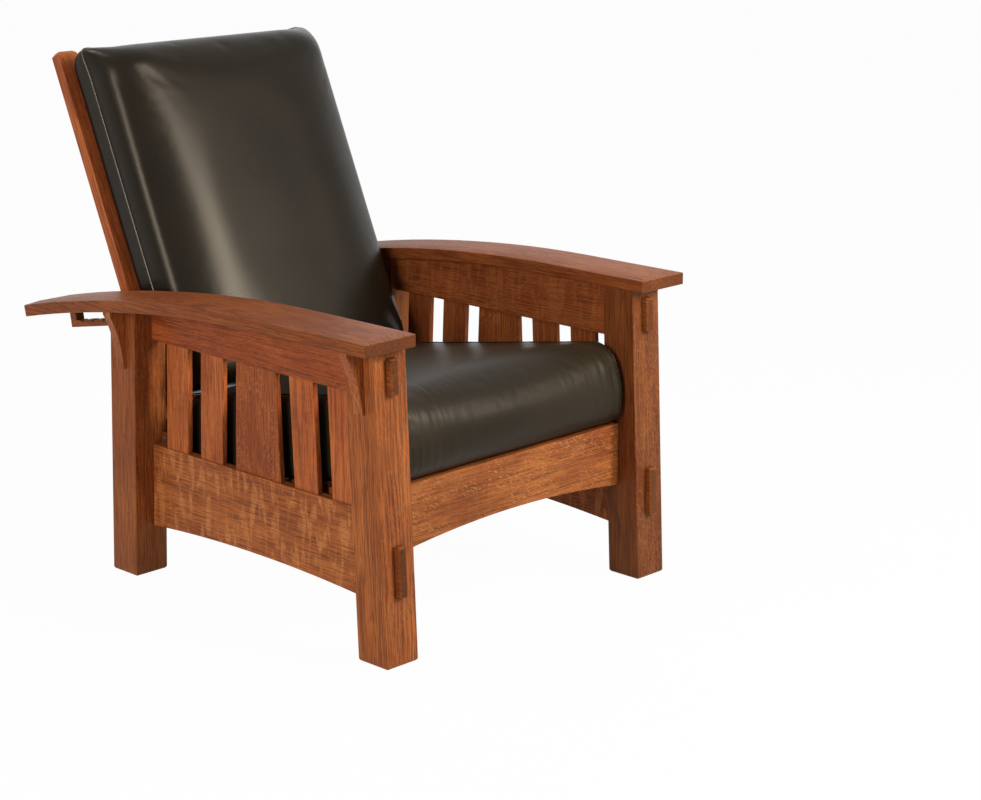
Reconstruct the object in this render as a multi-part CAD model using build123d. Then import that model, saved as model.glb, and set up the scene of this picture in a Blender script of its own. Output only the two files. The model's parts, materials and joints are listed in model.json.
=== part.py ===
"""Mission reclining armchair.

Splayed square legs carry two long bowed arms. Slatted sides and arched rails tie
the legs together, a sloping seat frame holds the loose seat cushion, and the back
swings on two pivot bolts and leans on a rod that moves along notched racks.
Millimetres, +Z up, the front of the chair towards -Y, +X to the sitter's left.
The origin is on the floor under the middle of the chair's box.
"""
import os
from math import asin, atan2, cos, degrees, hypot, radians, sin, tan

from build123d import *

# Legs
leg_spread = 760.0          # across the outer faces
leg_reach = 806.0           # front of the front feet to back of the rear feet
leg_size = 76.0
leg_splay = 2.63            # lean of each leg, in degrees
foot_chamfer = 3.0
glide_height = 2.5
glide_radius = 13.0

# Arms: flat over the seat, then one long bow down to the tail
arm_under = 585.5           # underside above the floor at the front
arm_edge = 23.0             # thickness at the edge
arm_bevel_rise = 4.5
arm_bevel_width = 24.0
arm_width = 122.5
arm_lip = 1.5               # inner edge of the arm past the inner faces of the legs
arm_overhang = 197.0        # tail end behind the rear feet
arm_flat = 253.0            # length of the flat part at the front
arm_bow_radius = 3300.0     # radius of the underside

# Corbels under the arms, on the outer faces of the legs
corbel_reach = 39.0
corbel_foot = 7.0
corbel_waist = 17.0
corbel_height = 118.0
corbel_thick = 22.0
corbel_tip = 7.0

# Rails and slats of the sides
side_inset = 44.0           # outer face of the leg to outer face of the side rails
rail_thick = 20.0
lower_rail_drop = 43.5      # below the top of the front rail
lower_rail_end = 170.0      # height at the ends
lower_rail_rise = 14.0      # rise of the arch
upper_rail_drop = 100.5     # underside below the arm
side_tenon_length = 24.0
side_tenon_thick = 10.0
side_tenon_height = 42.0
tenon_shoulder = 13.0
slat_width = 66.0
wide_slat_width = 112.0
slat_thick = 12.0
slat_tongue = 10.0
half_slat_count = 2         # narrow slats on each side of the wide one

# Show tenons on the front faces of the front legs
show_width = 19.0
show_proud = 13.0
show_depth = 14.0
show_chamfer = 3.0
upper_show_height = 66.0
upper_show_drop = 50.5      # middle of the upper tenon below the arm
lower_show_height = 95.0
lower_show_drop = 92.5      # middle of the lower tenon below the top of the side rail

# Front and rear rails
front_rail_setback = 56.0   # front foot to front face of the rail
front_rail_thick = 22.0
front_rail_top = 315.0
front_rail_end = 127.0
front_rail_rise = 21.0
rear_rail_drop = 49.5       # below the top of the lower side rails
rear_rail_end = 104.0
rear_rail_rise = 15.0
cross_tenon_length = 14.0
cross_tenon_thick = 10.0

# Seat frame, sloping down to the back
seat_slope = 9.7            # degrees
seat_lift = 0.6             # cushion above the front rail, at its back edge
seat_gap = 0.3              # cushion above the slats
seat_rear_room = 75.0       # seat frame to the rear rail, along the slope
seat_frame_gap = 2.0        # seat frame to the inner faces of the legs
seat_frame_height = 38.0
seat_frame_thick = 22.0
seat_slat_thick = 10.0
seat_slat_width = 46.0
seat_slat_count = 8
ledger_width = 34.0
ledger_height = 24.0
fit_gap = 0.3

# Seat cushion
cushion_leg_gap = 2.5       # cushion to the inner face of the legs
seat_cushion_room = 41.0    # pivot to the rear end of the cushion, along the slope
seat_cushion_nose = 52.0    # front of the cushion ahead of the rail's back face
seat_cushion_height = 166.0
seat_cushion_crown = 10.0
seat_front_swell = 4.0
seat_rear_swell = 3.0
seat_round_low = 44.0       # rounding of the front, below and above
seat_round_top = 56.0
seat_rear_fall = 110.0      # the top falls under the back cushion, this far from its end
seat_rear_depth = 62.0      # and this far down
seat_cushion_side = 12.0    # how far the side panels swell past the seams
seat_end_inset = 13.0       # how much the side panels are drawn in at their ends
seat_end_thin = 15.0

# Back frame. Its lean at rest follows from the pivot and from the rod that it leans on.
post_width = 44.0
post_depth = 26.0
post_gap = 4.5              # posts to the inner edges of the arms
post_top = 842.0            # pivot to the top of the posts
post_chamfer = 6.0
crest_drop = 21.0           # crest below the tops of the posts
crest_height = 92.0
back_rail_height = 58.0
back_rail_drop = 22.3       # underside of the foot rail below the back cushion
back_rail_thick = 20.0
back_rail_setback = 3.0
back_slat_height = 62.0
back_slat_thick = 12.0
back_slat_count = 4
back_tenon_length = 22.0
back_tenon_thick = 9.0
back_tenon_shoulder = 9.0

# Back cushion
back_cushion_gap = 17.5      # sides of the cushion to the inner edges of the arms
back_cushion_drop = 27.0     # top of the cushion below the tops of the posts
back_cushion_depth = 155.0
back_cushion_crown = 10.0
back_low_swell = 2.0
back_cushion_welt = 62.0     # depth of the welt line from the posts
back_cushion_tuck = 28.0     # how far the back panel draws in
back_round_low = 36.0        # rounding of the lower front edge
back_round_top = 60.0        # fall of the top from the welt to the front panel
back_fall_depth = 86.0       # depth of that fall
back_cushion_side = 28.0     # how far the side panels swell past the front panel
back_end_inset = 26.0        # how much the side panels are drawn in at their ends
back_end_thin = 30.0
cushion_gap = 0.4            # to the posts and to the seat cushion

# Pivot of the back
pivot_rise = 32.7            # above the top of the seat slats
pivot_room = 27.0            # ahead of the rear legs' inner faces, at the floor
pin_radius = 5.0
pin_clearance = 0.05
pin_head_radius = 9.0
pin_head_height = 5.0
washer_radius = 11.0
pivot_gap = 1.2              # pivot block to post, filled by a washer
washer_gap = 0.1
block_ahead = 28.0           # pivot to the front of the block
block_below = 26.0
block_over = 24.0            # top of the block above the lower side rail
screw_radius = 4.5
screw_height = 3.0
screw_reach = 12.0
screw_shank = 2.2
screw_up_share = 0.44        # place of the screw, of the block above the side rail

# Support rod and its racks
recline_angle = 18.0         # degrees of travel
rod_radius = 8.0
rod_drop = 19.4              # middle of the rod below the arms
rod_room = 39.1              # middle of the rod behind the rear feet
rod_gap = 0.3
rod_end_gap = 4.0            # ends of the rod to the outer faces of the racks
rack_slope = 10.6            # degrees down to the tail
rack_width = 20.0
rack_height = 14.0
rack_from_arm_edge = 1.5
rack_margin = 20.0           # rack past the rod's travel at each end
rack_block = 20.0            # length of each spacer block
notch_count = 4
notch_depth = 4.0
overrun = 40.0               # how far cutting shapes run past what they cut

# Values worked out from the sizes
lean = tan(radians(leg_splay))
half_spread = leg_spread / 2
half_reach = leg_reach / 2
leg_inner = half_spread - leg_size
rail_outer = half_spread - side_inset
rail_inner = rail_outer - rail_thick
rail_middle = (rail_outer + rail_inner) / 2
arm_front = -half_reach
arm_inner = leg_inner - arm_lip
arm_outer = arm_inner + arm_width
bow_start = arm_front + arm_flat
bow_centre = arm_under - arm_bow_radius
tail_y = half_reach + arm_overhang
tail_angle = asin((tail_y - bow_start) / arm_bow_radius)
lower_rail_top = front_rail_top - lower_rail_drop
rear_rail_top = lower_rail_top - rear_rail_drop
upper_rail_bottom = arm_under - upper_rail_drop
upper_show_middle = arm_under - upper_show_drop
lower_show_middle = lower_rail_top - lower_show_drop
crest_top = post_top - crest_drop
back_cushion_top = post_top - back_cushion_drop
front_rail_face = -half_reach + front_rail_setback
front_rail_back = front_rail_face + front_rail_thick
slope = radians(seat_slope)
seat_y0, seat_z0 = front_rail_back, front_rail_top + seat_lift
pivot_back = half_reach - leg_size - pivot_room
pivot_height = seat_z0 - (pivot_back - seat_y0) * tan(slope) + pivot_rise
post_outer = arm_inner - post_gap
post_inner = post_outer - post_width
post_half = post_depth / 2
# The rod lies one depth below the arms' bow, and the posts rest against its front.
rod_y = half_reach + rod_room
rod_z = bow_centre + ((arm_bow_radius - rod_drop) ** 2 - (rod_y - bow_start) ** 2) ** 0.5
rod_distance = hypot(rod_y - pivot_back, rod_z - pivot_height)
rod_off = post_half + rod_radius + rod_gap
rod_up = (rod_distance ** 2 - rod_off ** 2) ** 0.5
back_angle = atan2(rod_y - pivot_back, rod_z - pivot_height) - asin(rod_off / rod_distance)
# The chair's box runs from the lower show tenons to the top back corner of the posts.
box_back = (pivot_back + (post_top - post_chamfer) * sin(back_angle)
            + post_half * cos(back_angle))
box_front = (-half_reach + lean * lower_show_middle - show_proud * cos(radians(leg_splay))
             - (lower_show_height / 2 - show_chamfer) * sin(radians(leg_splay)))
box_middle = (box_back + box_front) / 2


def save(name, shape):
    """Write one node, moved so that the origin is under the middle of the box."""
    moved = Pos(0, -box_middle, 0) * shape
    print(f"{name:28s} volume {moved.volume / 1000:9.1f} cm3")
    export_step(moved, f"parts/{name}.step")


def side_shape(points, x0, x1):
    """A closed outline in the YZ plane, carried across from x0 to x1."""
    outline = Plane.YZ * make_face(Polyline(*points, close=True))
    return Pos(x0, 0, 0) * extrude(outline, x1 - x0)


def front_shape(points, y0, y1):
    """A closed outline in the XZ plane, carried back from y0 to y1."""
    outline = Plane.XZ * make_face(Polyline(*points, close=True))
    return Pos(0, y1, 0) * extrude(outline, y1 - y0)


def both_sides(shape):
    """The piece on the -X side and its mirror image."""
    mirrored = [mirror(solid, about=Plane.YZ) for solid in shape.solids()]
    return shape, Compound(mirrored) if len(mirrored) > 1 else mirrored[0]


def save_pair(name, shape):
    """Write the piece on the sitter's right, at -X, and its mirror image."""
    right, left = both_sides(shape)
    save(name + "_right", right)
    save(name + "_left", left)


def leg_front_y(z):
    """Front face of the front leg at height z; the rear leg mirrors it."""
    return -half_reach + lean * z


def leg_back_y(z):
    return leg_front_y(z) + leg_size


# Arm
def arm_path(lift, start, end_angle):
    """The line and the arc that run along the arm, lifted off its underside."""
    radius = arm_bow_radius + lift
    flat = Line((start, arm_under + lift), (bow_start, arm_under + lift))
    bow = CenterArc((bow_start, bow_centre), radius, 90, -degrees(end_angle))
    return flat, bow


def make_arm():
    thick = arm_edge + arm_bevel_rise
    flat, bow = arm_path(0, arm_front, tail_angle)
    path = Plane.YZ * Wire([flat, bow])
    half = arm_width / 2
    section = Polyline((-half, 0), (half, 0), (half, arm_edge),
                       (half - arm_bevel_width, thick), (arm_bevel_width - half, thick),
                       (-half, arm_edge), close=True)
    start = Plane(origin=(0, arm_front, arm_under), x_dir=(-1, 0, 0), z_dir=(0, 1, 0))
    arm = sweep(start * make_face(section), path)
    wedge = side_shape([(0, arm_edge), (arm_bevel_width, thick),
                        (arm_bevel_width, thick + overrun), (-overrun, thick + overrun),
                        (-overrun, arm_edge)], -half - overrun, half + overrun)
    arm -= Pos(0, arm_front, arm_under) * wedge
    tail = Pos(0, tail_y, bow_centre + arm_bow_radius * cos(tail_angle))
    arm -= tail * Rot(-degrees(tail_angle), 0, 0) * mirror(wedge, about=Plane.XZ)
    return Pos(-(arm_inner + arm_outer) / 2, 0, 0) * arm


def above_arm():
    """Everything over the arm's underside, to fit legs and rails beneath it."""
    reach = asin((tail_y + overrun - bow_start) / arm_bow_radius)
    flat, bow = arm_path(0, arm_front - overrun, reach)
    top = arm_under + arm_edge + overrun
    roof = Polyline(bow @ 1, ((bow @ 1).X, top), (arm_front - overrun, top), flat @ 0)
    outline = Plane.YZ * make_face(Wire([flat, bow] + roof.edges()))
    return Pos(-arm_outer - overrun, 0, 0) * extrude(outline, 2 * (arm_outer + overrun))


roof_cut = above_arm()
roof_top = arm_under + arm_edge


# Side rails and slats
def between_legs(z0, z1, past=0.0):
    """Outline that fills the space between the splayed legs of one side."""
    low, high = leg_back_y(z0) - past, leg_back_y(z1) - past
    return [(low, z0), (-low, z0), (-high, z1), (high, z1)]


def rail_tenons(z0, z1):
    half = side_tenon_thick / 2
    return side_shape(between_legs(z0, z1, side_tenon_length),
                      -rail_middle - half, -rail_middle + half)


lower_bottom = lower_rail_top - lower_rail_end
lower_tenons = rail_tenons(lower_bottom + tenon_shoulder, lower_rail_top - tenon_shoulder)
upper_tenon_low = upper_rail_bottom + tenon_shoulder
upper_tenons = rail_tenons(upper_tenon_low, upper_tenon_low + side_tenon_height)


def arch_cut(half_span, bottom, rise):
    """A low segment of a circle, to hollow the underside of a rail."""
    arc = ThreePointArc((-half_span, bottom), (0, bottom + rise), (half_span, bottom))
    base = Polyline((half_span, bottom), (half_span, bottom - rise),
                    (-half_span, bottom - rise), (-half_span, bottom))
    return make_face(Wire([arc] + base.edges()))


def make_lower_rail():
    rail = side_shape(between_legs(lower_bottom, lower_rail_top), -rail_outer, -rail_inner)
    arch = Plane.YZ * arch_cut(-leg_back_y(lower_bottom), lower_bottom, lower_rail_rise)
    rail -= Pos(-rail_outer - overrun, 0, 0) * extrude(arch, rail_thick + 2 * overrun)
    return rail


def make_upper_rail():
    rail = side_shape(between_legs(upper_rail_bottom, roof_top), -rail_outer, -rail_inner)
    return rail - roof_cut


def slat_edges():
    """Front and back edge of every slat at the upper rail, front to back."""
    clear = -2 * leg_back_y(upper_rail_bottom)
    widths = [slat_width] * half_slat_count + [wide_slat_width]
    widths += [slat_width] * half_slat_count
    gap = (clear - sum(widths)) / (len(widths) + 1)
    edges, y = [], -clear / 2 + gap
    for width in widths:
        edges.append((y, y + width))
        y += width + gap
    return edges


def make_slat(front, back, tongue):
    """One slat between the rails; its edges lean away from the middle slat."""
    z0, z1 = lower_rail_top - tongue, upper_rail_bottom + tongue
    drop, climb = upper_rail_bottom - z0, z1 - upper_rail_bottom
    lean_front = lean if back > 0 and front > 0 else -lean
    lean_back = -lean if back < 0 and front < 0 else lean
    half = slat_thick / 2
    return side_shape([(front + lean_front * drop, z0), (back + lean_back * drop, z0),
                       (back - lean_back * climb, z1), (front - lean_front * climb, z1)],
                      -rail_middle - half, -rail_middle + half)


slats = [make_slat(front, back, slat_tongue) for front, back in slat_edges()]
lower_rail = make_lower_rail() - slats
upper_rail = make_upper_rail() - slats


# Show tenons
def show_tenon(middle, height):
    """A chamfered block square to the face of the leaning front leg."""
    depth = show_depth + show_proud
    block = Box(show_width, depth, height)
    block = chamfer(block.faces().sort_by(Axis.Y)[0].edges(), show_chamfer)
    block = Pos(0, depth / 2 - show_proud, 0) * block
    middle_x = -half_spread + leg_size / 2
    return Pos(middle_x, leg_front_y(middle), middle) * Rot(-leg_splay, 0, 0) * block


upper_show = show_tenon(upper_show_middle, upper_show_height)
lower_show = show_tenon(lower_show_middle, lower_show_height)


# Front and rear rails
def cross_rail(top, end_height, rise, y0):
    """A rail with an arched underside between two legs, and its two tenons."""
    bottom = top - end_height
    rail = front_shape([(-leg_inner, bottom), (leg_inner, bottom), (leg_inner, top),
                        (-leg_inner, top)], y0, y0 + front_rail_thick)
    arch = Plane.XZ * arch_cut(leg_inner, bottom, rise)
    rail -= Pos(0, y0 + front_rail_thick + overrun, 0) * extrude(
        arch, front_rail_thick + 2 * overrun)
    half = leg_inner + cross_tenon_length
    middle = y0 + front_rail_thick / 2
    tenons = front_shape([(-half, bottom + tenon_shoulder), (half, bottom + tenon_shoulder),
                          (half, top - tenon_shoulder), (-half, top - tenon_shoulder)],
                         middle - cross_tenon_thick / 2, middle + cross_tenon_thick / 2)
    return rail + tenons_outside(tenons), tenons


def tenons_outside(tenons):
    """Only the ends of the tenon board, beyond the inner faces of the legs."""
    bounds = tenons.bounding_box()
    size = bounds.size
    middle = Pos(0, bounds.center().Y, bounds.center().Z) * Box(
        2 * leg_inner, size.Y + overrun, size.Z + overrun)
    return tenons - middle


front_rail, front_tenons = cross_rail(front_rail_top, front_rail_end, front_rail_rise,
                                      front_rail_face)
rear_rail, rear_tenons = cross_rail(rear_rail_top, rear_rail_end, rear_rail_rise,
                                    -front_rail_back)


# Legs
def make_leg():
    """The front leg on the -X side, under the arm."""
    x0, x1 = -half_spread, -leg_inner
    leg = side_shape([(leg_front_y(glide_height), glide_height),
                      (leg_back_y(glide_height), glide_height),
                      (leg_back_y(roof_top), roof_top), (leg_front_y(roof_top), roof_top)],
                     x0, x1)
    foot = leg.faces().sort_by(Axis.Z)[0]
    return chamfer(foot.edges(), foot_chamfer)


plain_leg = make_leg()
front_leg = plain_leg - roof_cut - lower_tenons - upper_tenons
front_leg -= [front_tenons, upper_show, lower_show]
rear_leg = mirror(plain_leg, about=Plane.XZ) - roof_cut - lower_tenons - upper_tenons
rear_leg -= rear_tenons


def make_glide(y):
    middle_x = -half_spread + leg_size / 2
    return Pos(middle_x, y, glide_height / 2) * Cylinder(glide_radius, glide_height)


glide_y = leg_front_y(0) + leg_size / 2


# Corbels
def make_corbel(y_top, tilt):
    """A thin bracket with a hollow curve, leaning with its leg."""
    top = overrun
    curve = ThreePointArc((-corbel_reach, -corbel_tip),
                          (-corbel_waist, -corbel_height / 2), (-corbel_foot, -corbel_height))
    rest = Polyline((-corbel_foot, -corbel_height), (0, -corbel_height), (0, top),
                    (-corbel_reach, top), (-corbel_reach, -corbel_tip))
    outline = Plane.XZ * make_face(Wire([curve] + rest.edges()))
    body = Pos(0, corbel_thick / 2, 0) * extrude(outline, corbel_thick)
    z_top = arm_z(y_top)
    return Pos(-half_spread, y_top, z_top) * Rot(tilt, 0, 0) * body - roof_cut


def arm_z(y):
    """Height of the arm's underside."""
    if y <= bow_start:
        return arm_under
    return bow_centre + (arm_bow_radius ** 2 - (y - bow_start) ** 2) ** 0.5


corbel_y = leg_front_y(arm_under) + leg_size / 2
front_corbel = make_corbel(corbel_y, -leg_splay)
rear_corbel = make_corbel(-corbel_y, leg_splay)


# Seat frame. Points are (a, b): a runs back along the slope, b is square to it.
def seat_point(a, b):
    return (seat_y0 + a * cos(slope) + b * sin(slope),
            seat_z0 - a * sin(slope) + b * cos(slope))


def seat_board(a0, a1, b0, b1, x0, x1):
    """A board between two places along the slope and two depths below it."""
    corners = [(a0, b0), (a1, b0), (a1, b1), (a0, b1)]
    return side_shape([seat_point(a, b) for a, b in corners], x0, x1)


slat_top = -seat_gap
slat_under = slat_top - seat_slat_thick
frame_under = slat_under - seat_frame_height
frame_start = -frame_under * tan(slope) + fit_gap
frame_end = frame_start - seat_rear_room + 2 * (-front_rail_back) / cos(slope)
seat_frame_length = frame_end - frame_start
frame_half = leg_inner - seat_frame_gap
frame_inside = frame_half - seat_frame_thick
seat_side = seat_board(frame_start, frame_end, frame_under, slat_under,
                       -frame_half, -frame_inside)
seat_cross_front = seat_board(frame_start, frame_start + seat_frame_thick,
                              frame_under, slat_under, -frame_inside, frame_inside)
seat_cross_rear = seat_board(frame_end - seat_frame_thick, frame_end,
                             frame_under, slat_under, -frame_inside, frame_inside)
slat_pitch = (seat_frame_length - seat_slat_width) / (seat_slat_count - 1)
seat_slats = [seat_board(frame_start + i * slat_pitch,
                         frame_start + i * slat_pitch + seat_slat_width,
                         slat_under, slat_top, -frame_half, frame_half)
              for i in range(seat_slat_count)]
# The ledgers start behind the cleat that carries the front of the seat frame.
cleat_end = frame_start + seat_frame_thick
ledger_start = cleat_end + ledger_height * tan(slope) + fit_gap
ledger = seat_board(ledger_start, frame_end, frame_under - ledger_height, frame_under,
                    -rail_inner, -rail_inner + ledger_width)
cleat_points = [seat_point(frame_start, frame_under),
                seat_point(cleat_end, frame_under)]
cleat_points += [(cleat_points[1][0], cleat_points[1][1] - ledger_height),
                 (front_rail_back, cleat_points[1][1] - ledger_height),
                 (front_rail_back, cleat_points[0][1])]
seat_cleat = side_shape(cleat_points, -leg_inner + fit_gap, leg_inner - fit_gap)


# Cushions are lofted across the chair, from side to side.
round_step_count = 4
rim_step_count = 400
crown_shares = [(0.0, 1.0), (0.3, 0.93), (0.55, 0.76), (0.76, 0.5), (0.9, 0.26), (1.0, 0.08)]


def cushion(outline, half, swell, crown, end_inset, end_thin):
    """Loft an outline across: crowned to the seams, then a rounded side panel."""
    seam = half - swell
    right = [(seam * place, 0.0, 0.0, crown * rise) for place, rise in crown_shares]
    for step in range(1, round_step_count + 1):
        turn = radians(90 * step / round_step_count)
        drawn_in = 1 - cos(turn)
        right.append((seam + swell * sin(turn), end_inset * drawn_in,
                      end_thin * drawn_in, crown * crown_shares[-1][1]))
    left = [(-across, inset, thin, rise) for across, inset, thin, rise in right[1:]]
    sections = [make_face(Pos(across, 0, 0) * (Plane.YZ * outline(inset, thin, rise)))
                for across, inset, thin, rise in left[::-1] + right]
    return loft(sections, ruled=True)


def soft_outline(place, a_ends, b_ends, radii, swells):
    """Four corners, each with its radius along a and b, and four sides that swell.

    They run from the corner at low a and low b, first along b; place gives the point.
    """
    (a0, a1), (b0, b1) = a_ends, b_ends
    corners = [(a0, b0, 1, 1), (a0, b1, 1, -1), (a1, b1, -1, -1), (a1, b0, -1, 1)]
    arcs = []
    for number, ((a, b, turn_a, turn_b), (radius_a, radius_b)) in enumerate(zip(corners, radii)):
        middle_a, middle_b = a + turn_a * radius_a, b + turn_b * radius_b
        bend = (middle_a - turn_a * radius_a * cos(radians(45)),
                middle_b - turn_b * radius_b * cos(radians(45)))
        arc = [(middle_a, b), bend, (a, middle_b)]
        arcs.append(arc if number % 2 == 0 else arc[::-1])
    outward = [(-1, 0), (0, 1), (1, 0), (0, -1)]
    edges = []
    for number, (arc, (out_a, out_b), swell) in enumerate(zip(arcs, outward, swells)):
        edges.append(ThreePointArc(*[place(a, b) for a, b in arc]))
        (a_from, b_from), (a_to, b_to) = arc[-1], arcs[(number + 1) % len(arcs)][0]
        middle = ((a_from + a_to) / 2 + out_a * swell, (b_from + b_to) / 2 + out_b * swell)
        if swell:
            edges.append(ThreePointArc(place(a_from, b_from), place(*middle), place(a_to, b_to)))
        else:
            edges.append(Line(place(a_from, b_from), place(a_to, b_to)))
    return Wire(edges)


seat_cushion_rear = (pivot_back - seat_y0) / cos(slope) - seat_cushion_room


def seat_outline(inset, thin, crown):
    """Seat cushion from the side: a full rounded front, a crowned top, a flat underside."""
    squeeze = 1 - 2 * thin / seat_cushion_height
    radii = [(seat_round_low, seat_round_low * squeeze), (seat_round_top, seat_round_top * squeeze),
             (seat_rear_fall, seat_rear_depth * squeeze),
             (seat_round_low, seat_round_low * squeeze)]
    return soft_outline(seat_point,
                        (inset - seat_cushion_nose, seat_cushion_rear - inset),
                        (thin, seat_cushion_height - thin), radii,
                        [seat_front_swell, crown, seat_rear_swell, 0])


seat_cushion_half = leg_inner - cushion_leg_gap
seat_cushion = cushion(seat_outline, seat_cushion_half, seat_cushion_side, seat_cushion_crown,
                       seat_end_inset, seat_end_thin)


# Back frame. Points are (u, t): u runs up the posts from the pivot, t forward of them.
def back_point(u, t):
    """Place in the YZ plane; t is measured from the front face of the posts."""
    forward = t + post_half
    return (pivot_back + u * sin(back_angle) - forward * cos(back_angle),
            pivot_height + u * cos(back_angle) + forward * sin(back_angle))


def back_place(y, z):
    """The u and t of a place in the YZ plane."""
    over, rise = y - pivot_back, z - pivot_height
    return (over * sin(back_angle) + rise * cos(back_angle),
            rise * sin(back_angle) - over * cos(back_angle) - post_half)


def lower_outline(t):
    """Height of the back cushion's lower outline at a depth t, over its lowest corners."""
    flat_end = back_cushion_depth - back_round_low
    if t > flat_end:
        return back_round_low - (back_round_low ** 2 - (t - flat_end) ** 2) ** 0.5
    share = (t - back_cushion_welt) / (flat_end - back_cushion_welt)
    return -4 * back_low_swell * max(0, share * (1 - share))


# The back cushion comes down the posts until it meets the seat cushion.
seat_rim = seat_outline(0, 0, seat_cushion_crown)
rim_places = [seat_rim @ (step / rim_step_count) for step in range(rim_step_count)]
rim_places = [back_place(place.X, place.Y) for place in rim_places]
back_cushion_bottom = cushion_gap + max(
    u - lower_outline(t) for u, t in rim_places if 0 < t < back_cushion_depth)


def back_board(u0, u1, t0, t1, x0, x1):
    corners = [(u0, t0), (u1, t0), (u1, t1), (u0, t1)]
    return side_shape([back_point(u, t) for u, t in corners], x0, x1)


def pivot_cylinder(radius, x0, x1):
    disc = Rot(0, 90, 0) * Cylinder(radius, x1 - x0)
    return Pos((x0 + x1) / 2, pivot_back, pivot_height) * disc


def make_post():
    post = back_board(0, post_top, -post_depth, 0, -post_outer, -post_inner)
    top = post.faces().sort_by(Axis.Z)[-1]
    post = chamfer(top.edges(), post_chamfer)
    post += pivot_cylinder(post_half, -post_outer, -post_inner)
    return post


def back_rail(u0, u1, thick, shoulder):
    """A cross piece of the back, let into both posts."""
    t1 = -back_rail_setback
    body = back_board(u0, u1, t1 - thick, t1, -post_inner, post_inner)
    middle = t1 - thick / 2
    tenon_half = min(back_tenon_thick, thick) / 2
    tenon = back_board(u0 + shoulder, u1 - shoulder, middle - tenon_half, middle + tenon_half,
                       -post_inner - back_tenon_length, post_inner + back_tenon_length)
    return body + tenon, tenon


back_rail_bottom = back_cushion_bottom - back_rail_drop
crest, crest_tenon = back_rail(crest_top - crest_height, crest_top, back_rail_thick,
                               back_tenon_shoulder)
foot_rail, foot_tenon = back_rail(back_rail_bottom, back_rail_bottom + back_rail_height,
                                  back_rail_thick, back_tenon_shoulder)
slat_room = crest_top - crest_height - back_rail_bottom - back_rail_height
back_slat_gap = (slat_room - back_slat_count * back_slat_height) / (back_slat_count + 1)
back_slats, slat_tenons = [], []
for i in range(back_slat_count):
    u0 = (back_rail_bottom + back_rail_height + back_slat_gap
          + i * (back_slat_height + back_slat_gap))
    board, tenon = back_rail(u0, u0 + back_slat_height, back_slat_thick, back_tenon_shoulder)
    back_slats.append(board)
    slat_tenons.append(tenon)

post = make_post() - [crest_tenon, foot_tenon] - slat_tenons
post -= pivot_cylinder(pin_radius + pin_clearance, -post_outer - overrun,
                       -post_inner + overrun)


def back_outline(inset, thin, crown):
    """Back cushion from the side: drawn in behind the welt, full and crowned in front."""
    squeeze = 1 - 2 * thin / back_cushion_depth
    behind = (back_cushion_tuck, back_cushion_welt * squeeze)
    ahead_low = (back_round_low, back_round_low * squeeze)
    ahead_top = (back_round_top, back_fall_depth * squeeze)
    return soft_outline(back_point,
                        (back_cushion_bottom + inset, back_cushion_top - inset),
                        (cushion_gap + thin, back_cushion_depth - thin),
                        [behind, ahead_low, ahead_top, behind],
                        [back_low_swell, crown, 0, 0])


back_cushion = cushion(back_outline, arm_inner - back_cushion_gap, back_cushion_side,
                       back_cushion_crown, back_end_inset, back_end_thin)

# Pivot blocks on the side rails, with their bolts, washers and screws
block_face = -post_outer - pivot_gap
block_top = lower_rail_top + block_over
block_back = -leg_back_y(block_top) - fit_gap
pivot_block = side_shape([(pivot_back - block_ahead, pivot_height - block_below),
                          (block_back, pivot_height - block_below),
                          (block_back, block_top), (pivot_back - block_ahead, block_top)],
                         -rail_inner, block_face)
pin_inside = -post_inner + washer_gap
pin = pivot_cylinder(pin_radius, -rail_inner, pin_inside)
pin += pivot_cylinder(pin_head_radius, pin_inside, pin_inside + pin_head_height)
pivot_block -= pivot_cylinder(pin_radius, -rail_inner - overrun, block_face + overrun)
washer = pivot_cylinder(washer_radius, block_face + washer_gap, -post_outer - washer_gap)
washer -= pivot_cylinder(pin_radius, block_face - overrun, -post_outer + overrun)
screw_z = lower_rail_top + block_over * screw_up_share
screw = Rot(0, 90, 0) * Cylinder(screw_radius, screw_height)
screw = Pos(-rail_inner - screw_height / 2, pivot_back, screw_z) * screw
shank = Rot(0, 90, 0) * Cylinder(screw_shank, screw_reach)
shank = Pos(-rail_inner + screw_reach / 2, pivot_back, screw_z) * shank
block_screw = screw + shank
pivot_block -= shank

# Support rod and racks
rack_angle = radians(rack_slope)
travel_angle = radians(recline_angle)
rod_travel = (rod_off * (1 - cos(travel_angle)) + rod_up * sin(travel_angle)) / cos(
    back_angle + travel_angle - rack_angle)


def rack_point(a, b):
    """a runs to the tail along the rack from the rod's rest place, b is square to it."""
    return (rod_y + a * cos(rack_angle) + b * sin(rack_angle),
            rod_z - a * sin(rack_angle) + b * cos(rack_angle))


def rack_board(a0, a1, b0, b1):
    corners = [(a0, b0), (a1, b0), (a1, b1), (a0, b1)]
    x0 = -arm_inner - rack_from_arm_edge - rack_width
    return side_shape([rack_point(a, b) for a, b in corners], x0, x0 + rack_width)


rack_top = -rod_radius - rod_gap
rack_start, rack_stop = -rack_margin - rack_block, rod_travel + rack_margin + rack_block
rack = rack_board(rack_start, rack_stop, rack_top - rack_height, rack_top)
for i in range(notch_count):
    y, z = rack_point(rod_travel * i / (notch_count - 1), -notch_depth)
    notch = Rot(0, 90, 0) * Cylinder(rod_radius + rod_gap, 2 * arm_outer)
    rack -= Pos(0, y, z) * notch
spacer_front = rack_board(rack_start, rack_start + rack_block, rack_top, overrun) - roof_cut
spacer_rear = rack_board(rack_stop - rack_block, rack_stop, rack_top, overrun) - roof_cut
rod_half = arm_inner + rack_from_arm_edge + rack_width - rod_end_gap
rod = Pos(0, rod_y, rod_z) * Rot(0, 90, 0) * Cylinder(rod_radius, 2 * rod_half)

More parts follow.
